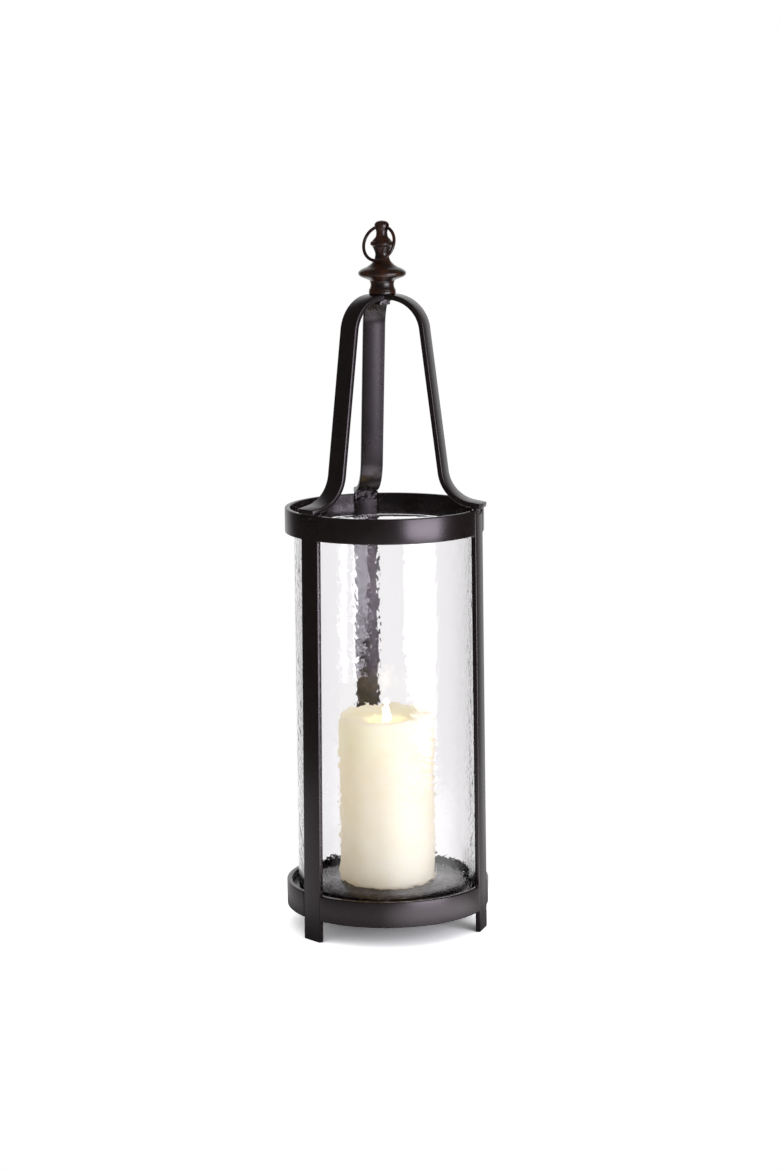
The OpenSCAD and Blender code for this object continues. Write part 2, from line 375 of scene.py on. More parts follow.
def speckle(tree: NodeTree, place: NodeSocket, size_mm: float, detail: float) -> NodeSocket:
    """Lays cloudy noise of a real size.

    Args:
        tree: the node tree.
        place: the coordinates, in metres.
        size_mm: distance between its lumps.
        detail: how many finer layers it has.

    Returns:
        Its value.
    """
    return add(tree, "TexNoise", Vector=place, Scale=1 / (size_mm * MM),
               Detail=detail).outputs["Fac"]


def spread(
    tree: NodeTree, value: NodeSocket, reach: Pair, levels: Pair, kind: str = "LINEAR"
) -> NodeSocket:
    """Turns a value's range into another one.

    Args:
        tree: the node tree.
        value: the value.
        reach: its range.
        levels: what the range's two ends become.
        kind: how it runs between them.

    Returns:
        The new value.
    """
    return add(tree, "MapRange", {"interpolation_type": kind}, n0=value, n1=reach[0],
               n2=reach[1], n3=levels[0], n4=levels[1]).outputs[0]


def calc(tree: NodeTree, operation: str, *values: Any) -> NodeSocket:
    """Reckons with two or three values.

    Args:
        tree: the node tree.
        operation: the operation's name.
        values: numbers or sockets.

    Returns:
        The result.
    """
    return add(tree, "Math", {"operation": operation},
               **{f"n{k}": value for k, value in enumerate(values)}).outputs[0]


def surface(material: Material, **sockets: Any) -> Material:
    """Ends a material with a Principled shader.

    Args:
        material: the material.
        sockets: the shader's values, as in add.

    Returns:
        The same material.
    """
    shader = add(material.node_tree, "BsdfPrincipled", **sockets)
    add(material.node_tree, "OutputMaterial", Surface=shader.outputs[0])
    return material


def ramp(node: Node, stops: Sequence[tuple[float, RGBA]]) -> NodeSocket:
    """Sets the stops of a colour ramp.

    Args:
        node: the ramp's node.
        stops: (place, colour) pairs.

    Returns:
        The ramp's colour output.
    """
    band = node.color_ramp.elements
    while len(band) < len(stops):
        band.new(0.5)
    for element, (place, colour) in zip(band, stops):
        element.position = place
        element.color = colour
    return node.outputs["Color"]


@dataclass(frozen=True)
class SatinPaint:
    """Satin paint on rolled and welded mild steel flat bar.

    It gives the eye a near-black brown with a soft broad sheen, the faint orange peel of a sprayed
    coat and the slow waves of bar that was bent by hand.
    """

    name: str = "satin_painted_steel"
    colour: str = "0F0A08"
    thin_colour: str = "140E0B"
    sheen: str = "F5E9F3"
    index: float = 1.66
    roughness: Pair = (0.26, 0.28)
    cloud_mm: float = 9
    # The peel of a real coat is nearer 1 mm. This is as fine as the renders show.
    peel_mm: float = 1.6
    wave_mm: float = 17
    peel: float = 0.03
    wave: float = 0.03
    peel_deep_mm: float = 0.2
    wave_deep_mm: float = 1.2

    def material(self) -> Material:
        """Builds the material.

        Returns:
            The material.
        """
        made, tree, place = blank(self.name)
        cloud = speckle(tree, place, self.cloud_mm, 4)
        colour = ramp(add(tree, "ValToRGB", Fac=cloud),
                      [(0.35, tint(self.colour)), (0.75, tint(self.thin_colour))])
        rough = spread(tree, cloud, CLOUD, self.roughness)
        fine = add(tree, "Bump", Strength=self.peel, Distance=self.peel_deep_mm * MM,
                   Height=speckle(tree, place, self.peel_mm, 2))
        bump = add(tree, "Bump", Strength=self.wave, Distance=self.wave_deep_mm * MM,
                   Height=speckle(tree, place, self.wave_mm, 1), Normal=fine.outputs["Normal"])
        return surface(made, Base_Color=colour, Roughness=rough, IOR=self.index,
                       Specular_Tint=tint(self.sheen), Normal=bump.outputs["Normal"])


@dataclass(frozen=True)
class AgedBronze:
    """Cast and turned metal under an oil-rubbed bronze lacquer.

    It gives the eye a deep red-brown, glossier than the frame, that goes almost black in the
    hollows, with fine turning lines round it.
    """

    name: str = "oil_rubbed_bronze"
    dark: str = "0E0806"
    warm: str = "32180B"
    roughness: Pair = (0.36, 0.3)
    cloud_mm: float = 7
    # Real turning lines are far finer. These are as fine as the renders show.
    line_mm: float = 6
    line_deep_mm: float = 0.1

    def material(self) -> Material:
        """Builds the material.

        Returns:
            The material.
        """
        made, tree, place = blank(self.name)
        cloud = speckle(tree, place, self.cloud_mm, 2)
        colour = ramp(add(tree, "ValToRGB", Fac=cloud),
                      [(0.3, tint(self.dark)), (0.72, tint(self.warm))])
        turned = add(tree, "TexWave", {"wave_type": "BANDS", "bands_direction": "Z"}, Vector=place,
                     Scale=1 / (self.line_mm * MM), Distortion=0.6, Detail=2.0).outputs["Fac"]
        bump = add(tree, "Bump", Strength=0.06, Distance=self.line_deep_mm * MM, Height=turned)
        rough = spread(tree, cloud, CLOUD, self.roughness)
        return surface(made, Base_Color=colour, Roughness=rough, IOR=1.5, Coat_Weight=0.4,
                       Coat_Roughness=0.2, Normal=bump.outputs["Normal"])


@dataclass(frozen=True)
class PlatedSteel:
    """Zinc-plated steel wire. It gives the eye a dull silver with a faint cloudy spangle."""

    name: str = "zinc_plated_steel"
    colour: str = "8E8B85"
    roughness: Pair = (0.3, 0.45)
    spangle_mm: float = 1.5

    def material(self) -> Material:
        """Builds the material.

        Returns:
            The material.
        """
        made, tree, place = blank(self.name)
        cloud = add(tree, "TexVoronoi", Vector=place,
                    Scale=1 / (self.spangle_mm * MM)).outputs["Color"]
        rough = spread(tree, cloud, (0.0, 1.0), self.roughness)
        return surface(made, Base_Color=tint(self.colour), Roughness=rough, Metallic=1.0)


@dataclass(frozen=True)
class HammeredGlass:
    """Hand-blown soda-lime glass with a rippled wall.

    It gives the eye a colourless wall that breaks up straight things behind it, with ripples and
    dimples that catch the light.
    """

    name: str = "hammered_glass"
    colour: str = "FEFDFE"
    index: float = 1.42
    ripple_mm: float = 2.2
    dimple_mm: float = 4.5
    ripple_deep_mm: float = 0.05
    dimple_deep_mm: float = 0.13
    # A radius between the wall's inner and outer faces: the inner one is the smoother
    inside_mm: float = 68
    inside_share: float = 0.25

    def material(self) -> Material:
        """Builds the material.

        Returns:
            The material.
        """
        made, tree, place = blank(self.name)
        dimple = add(tree, "TexVoronoi", {"feature": "SMOOTH_F1"}, Vector=place,
                     Scale=1 / (self.dimple_mm * MM), Smoothness=0.3)
        flat = add(tree, "VectorMath", {"operation": "MULTIPLY"}, n0=place, n1=(1, 1, 0)).outputs[0]
        radius = add(tree, "VectorMath", LENGTH, n0=flat).outputs["Value"]
        outside = spread(tree, radius, (self.inside_mm * MM, (self.inside_mm + 1) * MM),
                         (self.inside_share, 1.0))
        beat = calc(tree, "MULTIPLY", dimple.outputs["Distance"], outside)
        grain = calc(tree, "MULTIPLY", speckle(tree, place, self.ripple_mm, 1), outside)
        fine = add(tree, "Bump", Strength=1.0, Distance=self.ripple_deep_mm * MM, Height=grain)
        bump = add(tree, "Bump", Strength=1.0, Distance=self.dimple_deep_mm * MM, Height=beat,
                   Normal=fine.outputs["Normal"])
        return surface(made, Base_Color=tint(self.colour), Roughness=0.0, IOR=self.index,
                       Transmission_Weight=1.0, Normal=bump.outputs["Normal"])


@dataclass(frozen=True)
class IvoryWax:
    """Poured paraffin wax with a hand-melted rim.

    It gives the eye a warm ivory that light soaks into and a faint mottling. Its honey glow
    round the flame is painted light: emission that is strongest there and fades over the whole
    body, standing in for the light unit shining through.
    """

    # Height of the middle of the painted glow, the emission that stands in for the light unit's
    # light
    painted_glow_mm: float
    name: str = "ivory_wax"
    colour: str = "E9EEE0"
    deep: str = "E5E8D6"
    # Colour of the painted glow
    glow: str = "FFDA94"
    mottle_mm: float = 14
    skin_mm: float = 3
    skin_deep_mm: float = 0.4
    roughness: Pair = (0.42, 0.55)
    # Each painted glow: the distances from the light that it fades between, and its emission levels
    # there
    painted_glows: tuple[tuple[Pair, Pair], ...] = (((8, 190), (0.29, 0.12)), ((8, 24), (0.2, 0.0)))
    soak: float = 0.85
    soak_mm: float = 22

    def material(self) -> Material:
        """Builds the material.

        Returns:
            The material.
        """
        made, tree, place = blank(self.name)
        mottle = speckle(tree, place, self.mottle_mm, 5)
        colour = ramp(add(tree, "ValToRGB", Fac=mottle),
                      [(0.3, tint(self.deep)), (0.65, tint(self.colour))])
        bump = add(tree, "Bump", Strength=0.12, Distance=self.skin_deep_mm * MM,
                   Height=speckle(tree, place, self.skin_mm, 3))
        rough = spread(tree, mottle, CLOUD, self.roughness)
        # Painted glow: emission by distance from the flame, standing in for its light through the
        # wax
        moved = add(tree, "Mapping", Vector=place, Location=(0, 0, -self.painted_glow_mm * MM)).outputs[0]
        far = add(tree, "VectorMath", LENGTH, n0=moved).outputs["Value"]
        near = calc(tree, "ADD", *(
            spread(tree, far, (first * MM, last * MM), levels, "SMOOTHERSTEP")
            for (first, last), levels in self.painted_glows))
        return surface(made, Base_Color=colour, Roughness=rough, IOR=1.44,
                       Subsurface_Weight=self.soak, Subsurface_Radius=(1.0, 0.95, 0.8),
                       Subsurface_Scale=self.soak_mm * MM, Emission_Color=tint(self.glow),
                       Emission_Strength=near, Normal=bump.outputs["Normal"])


@dataclass(frozen=True)
class MouldedPlastic:
    """Injection-moulded ABS. It gives the eye a flat sheen with a fine spark-eroded grain."""

    name: str
    colour: str
    roughness: float = 0.5
    # The real grain is near 0.1 mm. This is as fine as a close render shows.
    grain_mm: float = 0.8
    grain_deep_mm: float = 0.1

    def material(self) -> Material:
        """Builds the material.

        Returns:
            The material.
        """
        made, tree, place = blank(self.name)
        bump = add(tree, "Bump", Strength=0.15, Distance=self.grain_deep_mm * MM,
                   Height=speckle(tree, place, self.grain_mm, 3))
        return surface(made, Base_Color=tint(self.colour), Roughness=self.roughness, IOR=1.5,
                       Normal=bump.outputs["Normal"])


@dataclass(frozen=True)
class LitFlame:
    """Translucent plastic flame tongue, lit from below.

    It gives the eye an amber foot, a white-hot middle and a honey tip.
    """

    foot_mm: float
    tip_mm: float
    name: str = "lit_flame_plastic"
    colour: str = "FFF2D8"
    heat: tuple[tuple[float, str], ...] = (
        (0.0, "F2A04A"), (0.3, "FFE3A6"), (0.6, "FFF6DC"), (1.0, "FFD98C"))
    strength: float = 3.0

    def material(self) -> Material:
        """Builds the material.

        Returns:
            The material.
        """
        made, tree, place = blank(self.name)
        height = add(tree, "SeparateXYZ", Vector=place).outputs["Z"]
        level = spread(tree, height, (self.foot_mm * MM, self.tip_mm * MM), (0.0, 1.0))
        colour = ramp(add(tree, "ValToRGB", Fac=level),
                      [(at, tint(code)) for at, code in self.heat])
        return surface(made, Base_Color=tint(self.colour), Roughness=0.4, Emission_Color=colour,
                       Emission_Strength=self.strength)


# ---- sub-assemblies


@dataclass
class Frame:
    """The welded frame: two hoops, three legs, the pressed plate and the weld beads."""

    paint: Material
    bead: Material
    bar_t: float = 4
    leg_w: float = 18.8
    top_r: float = 77.8
    base_r: float = 80
    top_z: float = 335.3
    top_h: float = 19.4
    base_z: float = 37.5
    base_h: float = 20.3
    leg_drop: float = 4.2
    plate_z: float = 32.3
    plate_t: float = 1.5
    plate_gap: float = 0.25
    dais_z: float = 35.7
    dais_r: float = 62.5
    edge: float = 0.8
    plate_edge: float = 0.3
    arc_steps: int = 72
    plate_steps: int = 128
    # Bar beyond each cut, that the cut takes off
    spare: float = 5
    bead_r: float = 1.45
    lump: Pair = (1.3, 0.35)

    def face(self, radius: float) -> float:
        """Distance of a leg's flat face from the axis, its long edges flush with the hoop.

        Args:
            radius: the hoop's outer radius.

        Returns:
            The distance.
        """
        return sqrt(radius**2 - self.leg_w**2 / 4)

    def hoop_arc(self, radius: float, top: float, tall: float, span: Span) -> BMesh:
        """Bends one arc of a hoop between two legs.

        Args:
            radius: outer radius.
            top: height of the top edge.
            tall: height of the band.
            span: which arc.

        Returns:
            Its mesh in millimetres.
        """
        bm = bmesh.new()
        middle = Matrix.Translation((radius - self.bar_t / 2, 0, top - tall / 2))
        start = section(bm, tall, self.bar_t, outward(span.value - 60) @ middle
                        @ Matrix.Rotation(pi / 2, 4, "X"))
        bend_on(bm, start, Vector(), UP, 120, self.arc_steps)
        for side in (-1, 1):
            turn = outward(span.value + side * 60)
            trim(bm, turn @ Vector((0, -side * self.leg_w / 2, 0)),
                 turn.to_3x3() @ Vector((0, side, 0)))
        ease(bm, self.edge)
        return bm

    def leg(self, leg: Leg) -> BMesh:
        """Cuts one leg from flat bar, with its foot flat on the floor.

        Args:
            leg: which leg.

        Returns:
            Its mesh in millimetres.
        """
        bm = bmesh.new()
        low, high = self.base_z - self.base_h / 2, self.top_z - self.top_h / 2
        lean = Matrix.Rotation(-(self.base_r - self.top_r) / (high - low), 4, "Y")
        place = Matrix.Translation((self.face(self.base_r), 0, low)) @ lean
        start = section(bm, self.leg_w, self.bar_t,
                        place @ Matrix.Translation((-self.bar_t / 2, 0, -low - self.spare)))
        run_on(bm, start, lean.to_3x3() @ Vector((0, 0, self.top_z + 2 * self.spare)))
        trim(bm, Vector(), -UP)
        trim(bm, Vector((0, 0, self.top_z - self.leg_drop)), UP)
        ease(bm, self.edge)
        bm.transform(outward(leg.value))
        return bm

    def plate(self) -> BMesh:
        """Presses the base plate with its raised round middle.

        Returns:
            Its mesh in millimetres.
        """
        bm = bmesh.new()
        rim = self.face(self.base_r) - self.bar_t - self.plate_gap
        under = self.plate_z - self.plate_t
        shoulder = [(self.dais_r + 1.6, self.plate_z), (self.dais_r + 0.7, self.plate_z + 0.5),
                    (self.dais_r - 0.1, self.dais_z - 0.9), (self.dais_r - 1.2, self.dais_z)]
        lathe(bm, [(0, self.dais_z), *reversed(shoulder), (rim, self.plate_z), (rim, under),
                   (self.dais_r, under), (self.dais_r - 1.5, self.dais_z - self.plate_t),
                   (0, self.dais_z - self.plate_t)], self.plate_steps)
        ease(bm, self.plate_edge, limit=60)
        return bm

    def beads(self, radius: float, level: float, up: int, seed: float) -> BMesh:
        """Drops small weld beads in the corners between a hoop and the legs.

        Args:
            radius: the hoop's outer radius.
            level: height of the hoop's edge.
            up: 1 for beads on a top edge, -1 under a lower edge.
            seed: picks their shapes.

        Returns:
            Their mesh in millimetres.
        """
        bm = bmesh.new()
        for count, (leg, side) in enumerate((leg, side) for leg in Leg for side in (-1, 1)):
            drop = bmesh.new()
            bmesh.ops.create_icosphere(drop, subdivisions=3, radius=self.bead_r)
            lumps(drop, *self.lump, seed + count)
            bmesh.ops.translate(drop, vec=(self.face(radius) - self.bar_t / 2,
                                           side * self.leg_w / 2, level), verts=drop.verts[:])
            trim(drop, Vector((0, 0, level)), Vector((0, 0, -up)))
            trim(drop, Vector((0, side * self.leg_w / 2, 0)), Vector((0, -side, 0)))
            drop.transform(outward(leg.value))
            merge_in(bm, drop)
        return bm

    def build(self) -> None:
        """Makes and dresses the frame's pieces."""
        hoops = (("base_hoop", self.base_r, self.base_z, self.base_h),
                 ("top_hoop", self.top_r, self.top_z, self.top_h))
        for hoop, radius, top, tall in hoops:
            for span in Span:
                node = f"{hoop}_{span.name.lower()}"
                finish_piece(f"{node}_bar", self.hoop_arc(radius, top, tall, span), self.paint,
                             [node])
        for leg in Leg:
            node = f"leg_{leg.name.lower()}"
            finish_piece(f"{node}_bar", self.leg(leg), self.paint, [node])
        finish_piece("base_plate_pressing", self.plate(), self.paint, ["base_plate"])
        finish_piece("base_hoop_beads", self.beads(self.base_r, self.base_z, 1, 3.1), self.bead,
                     ["base_hoop_welds"])
        finish_piece("top_hoop_beads", self.beads(self.top_r, self.top_z - self.top_h, -1, 8.7),
                     self.bead, ["top_hoop_welds"])
        dress("plate_welds", self.bead)


@dataclass
class Crown:
    """The three ogee straps with the weld fillings under their feet."""

    frame: Frame
    strap_w: float = 17.6
    crown_z: float = 500
    crown_flat: float = 6.8
    crown_bend: float = 27.4
    flare_bend: float = 27.6
    foot_slope: float = 10
    foot_len: float = 9.9
    foot_reach: float = 2.8
    foot_rise: float = 0.7
    touch: float = 0.05
    flare_steps: int = 22
    crown_steps: int = 26
    # A filling's size, and its middle from the leg's inner face and its end
    fill: tuple[float, float, float] = (4.2, 18, 8.4)
    fill_at: Pair = (1.4, 2.6)
    fill_cuts: int = 15
    lump: Pair = (2.7, 1.1)

    def tip(self) -> Vector:
        """Middle of the end of a strap's foot, +X outwards."""
        return Vector((self.frame.top_r + self.foot_reach, 0,
                       self.frame.top_z + self.frame.bar_t / 2 + self.foot_rise))

    def strap(self, leg: Leg) -> BMesh:
        """Bends one strap from its foot to the crown.

        Args:
            leg: the leg that it stands over.

        Returns:
            Its mesh in millimetres.
        """
        bm = bmesh.new()
        across = Vector((0, 1, 0))
        low = radians(self.foot_slope)
        thick = Vector((sin(low), 0, cos(low)))
        along = thick.cross(across)
        flare = self.tip() + along * self.foot_len + thick * self.flare_bend
        crown = Vector((self.crown_flat, 0, self.crown_z - self.frame.bar_t / 2 - self.crown_bend))
        between = crown - flare
        high = pi / 2 - atan2(-between.x, between.z)
        high += asin((self.flare_bend + self.crown_bend) / between.length)
        place = Matrix((thick, across, along)).transposed().to_4x4()
        end = section(bm, self.strap_w, self.frame.bar_t, Matrix.Translation(self.tip()) @ place)
        end = run_on(bm, end, along * self.foot_len)
        end = bend_on(bm, end, flare, across, degrees(high - low), self.flare_steps)
        thick = Vector((sin(high), 0, cos(high)))
        end = run_on(bm, end, between + thick * (self.flare_bend + self.crown_bend))
        end = bend_on(bm, end, crown, -across, degrees(high), self.crown_steps)
        run_on(bm, end, Vector((-crown.x - self.strap_w, 0, 0)))
        for side in (-1, 1):
            wing = Matrix.Rotation(radians(side * 60), 3, "Z") @ Vector((0, side, 0))
            trim(bm, wing * -self.touch, wing)
        ease(bm, self.frame.edge)
        bm.transform(outward(leg.value))
        return bm

    def fillings(self) -> BMesh:
        """Runs lumpy weld metal between each leg's end and the foot above it.

        Returns:
            Its mesh in millimetres.
        """
        bm = bmesh.new()
        leg_top = self.frame.top_z - self.frame.leg_drop
        inner = self.frame.face(self.frame.top_r) - self.frame.bar_t
        slope = Matrix.Rotation(radians(self.foot_slope), 3, "Y") @ UP
        for count, leg in enumerate(Leg):
            blob = bmesh.new()
            bmesh.ops.create_cube(blob, size=1)
            bmesh.ops.scale(blob, vec=self.fill, verts=blob.verts[:])
            bmesh.ops.subdivide_edges(blob, edges=blob.edges[:], cuts=self.fill_cuts,
                                      use_grid_fill=True)
            out, up = self.fill_at
            bmesh.ops.translate(blob, vec=(inner + out, 0, leg_top + up), verts=blob.verts[:])
            bmesh.ops.smooth_vert(blob, verts=blob.verts[:], factor=0.5, use_axis_x=True,
                                  use_axis_y=False, use_axis_z=False)
            lumps(blob, *self.lump, 5.0 + count)
            trim(blob, Vector((0, 0, leg_top)), -UP)
            trim(blob, self.tip() - slope * self.frame.bar_t / 2, slope)
            blob.transform(outward(leg.value))
            merge_in(bm, blob)
        return bm

    def build(self) -> None:
        """Makes and dresses the crown's pieces."""
        for leg in Leg:
            node = f"strap_{leg.name.lower()}"
            finish_piece(f"{node}_bar", self.strap(leg), self.frame.paint, [node])
        finish_piece("strap_fillings", self.fillings(), self.frame.bead,
                     ["strap_welds"])


@dataclass
class Finial:
    """The turned finial, its fasteners and the wire ring that hangs in its knob."""

    bronze: Material
    fastener: Material
    base_z: float = 500
    tall: float = 56.4
    flange_r: float = 18.5
    hole_r: float = 2.3
    hole_drop: float = 5
    drill_len: float = 40
    ring_od: float = 30
    wire: float = 2.5
    ring_turn: float = -45
    ring_lean: float = 19
    ring_rise: float = 0.6
    steps: int = 96
    ring_steps: int = 80
    # Lines of the turning: height and radius, in percent of the height and of the flange
    collar: tuple[Pair, ...] = (
        (0, 53), (0.5, 55.5), (1.5, 56.5), (3.6, 57), (4.3, 56.4), (4.8, 54.2), (5.2, 55.6),
        (5.6, 56.2))
    vase: tuple[Pair, ...] = (
        (6, 56), (9, 51), (13, 48.7), (17, 51), (19, 55), (21, 69), (23, 85), (25, 95), (28, 100),
        (31, 97), (34, 85), (37, 64.5), (41, 47), (46, 34.5), (53, 28.5), (58, 31), (65, 40.5))
    bead_ring: tuple[Pair, ...] = ((65.5, 43), (67, 47.5), (69, 48.7), (71.5, 45.5))
    head: tuple[Pair, ...] = (
        (72, 41.5), (75, 34), (78, 26), (82, 23.5), (86, 24.2), (90, 28.5), (93.5, 30.4),
        (96.5, 27.5), (98.8, 18), (100, 0))

    def body(self) -> BMesh:
        """Turns the finial from its lines.

        Returns:
            Its mesh in millimetres.
        """
        bm = bmesh.new()
        line = [(0, 0), *self.collar, *smooth_line(self.vase, 5), *smooth_line(self.bead_ring, 4),
                *smooth_line(self.head, 5)]
        lathe(bm, [(r * self.flange_r / 100, self.base_z + z * self.tall / 100) for z, r in line],
              self.steps)
        return bm

    def drill(self, piece: Object) -> None:
        """Drills the ring's cross hole through the knob.

        Args:
            piece: the finial's object.
        """
        bm = bmesh.new()
        bmesh.ops.create_cone(bm, cap_ends=True, segments=48, radius1=self.hole_r * MM,
                              radius2=self.hole_r * MM, depth=self.drill_len * MM)
        place = Matrix.Translation((0, 0, (self.base_z + self.tall - self.hole_drop) * MM))
        bm.transform(place @ outward(self.ring_turn) @ Matrix.Rotation(pi / 2, 4, "X"))
        drill = stand("drill", bm)
        cut = piece.modifiers.new("cross_hole", "BOOLEAN")
        cut.operation, cut.solver, cut.object = "DIFFERENCE", "EXACT", drill
        graph = bpy.context.evaluated_depsgraph_get()
        done = bpy.data.meshes.new_from_object(piece.evaluated_get(graph))
        piece.modifiers.clear()
        piece.data = done
        bpy.data.objects.remove(drill)
        done.shade_smooth()
        done.set_sharp_from_angle(angle=radians(40))

    def ring(self) -> BMesh:
        """Bends the wire ring, hanging and leaning on the finial.

        Returns:
            Its mesh in millimetres.
        """
        bm = bmesh.new()
        middle = (self.ring_od - self.wire) / 2
        dots = bmesh.ops.create_circle(bm, segments=20, radius=self.wire / 2)["verts"]
        bmesh.ops.rotate(bm, matrix=Matrix.Rotation(pi / 2, 3, "X"), verts=dots)
        bmesh.ops.translate(bm, vec=(middle, 0, 0), verts=dots)
        bmesh.ops.spin(bm, geom=[*dots, *bm.edges], cent=(0, 0, 0), axis=UP, angle=2 * pi,
                       steps=self.ring_steps, use_merge=True, use_duplicate=False)
        bmesh.ops.remove_doubles(bm, verts=bm.verts[:], dist=1e-4)
        bmesh.ops.recalc_face_normals(bm, faces=bm.faces[:])
        place = (Matrix.Translation((0, 0, self.base_z + self.tall - self.hole_drop))
                 @ outward(self.ring_turn) @ Matrix.Rotation(radians(-self.ring_lean), 4, "Y")
                 @ Matrix.Translation((0, 0, self.ring_rise - middle))
                 @ Matrix.Rotation(pi / 2, 4, "Y"))
        bm.transform(place)
        return bm

    def build(self) -> None:
        """Makes and dresses the finial's pieces."""
        turned = finish_piece("finial_turning", self.body(), self.bronze, ["finial"])
        self.drill(turned)
        finish_piece("hanging_ring_wire", self.ring(), self.bronze, ["hanging_ring"],
                     body="ring")
        for node in ("crown_washer", "crown_nut", "finial_stud"):
            dress(node, self.fastener)


@dataclass
class Chimney:
    """The loose glass chimney, its wall rippled inside and out."""

    glass: Material
    radius: float = 70.8
    wall: float = 4
    foot_z: float = 32.6
    top_z: float = 319.1
    soft: float = 0.9
    lip: Pair = (0.3, 0.25)
    rows: int = 150
    steps: int = 256
    # Each ripple's size and depth
    ripples: tuple[Pair, ...] = ((5.5, 0.06), (9, 0.05), (26, 0.10))
    # The ripples die out towards the rims over these heights, down to this share
    calm: Pair = (6, 4)
    calm_share: float = 0.15

    def tube(self) -> BMesh:
        """Blows the tube and ripples its wall.

        Returns:
            Its mesh in millimetres.
        """
        bm = bmesh.new()
        soft, (lip_r, lip_z) = self.soft, self.lip
        inner = self.radius - self.wall
        levels = [self.foot_z + soft + (self.top_z - self.foot_z - 2 * soft) * k / self.rows
                  for k in range(self.rows + 1)]
        lips = [(self.radius - lip_r, self.top_z - lip_z), (self.radius - soft, self.top_z),
                (inner + soft, self.top_z), (inner + lip_r, self.top_z - lip_z)]
        foot = [(inner + soft, self.foot_z), (self.radius - soft, self.foot_z)]
        lathe(bm, [*((self.radius, z) for z in levels), *lips,
                   *((inner, z) for z in reversed(levels)), *foot], self.steps, closed=True)
        for v in bm.verts:
            around = Vector((v.co.x, v.co.y, 0)).normalized()
            inside = v.co.xy.length < self.radius - self.wall / 2
            fade = min(1, (v.co.z - self.foot_z) / self.calm[0],
                       (self.top_z - v.co.z) / self.calm[1])
            seed = Vector((40, 0, 7)) if inside else Vector()
            move = sum(depth * noise.noise(v.co / size + seed) for size, depth in self.ripples)
            v.co += around * move * max(self.calm_share, fade)
        return bm

    def build(self) -> None:
        """Makes and dresses the chimney."""
        finish_piece("glass_chimney_wall", self.tube(), self.glass,
                     ["glass_chimney"], body="glass")


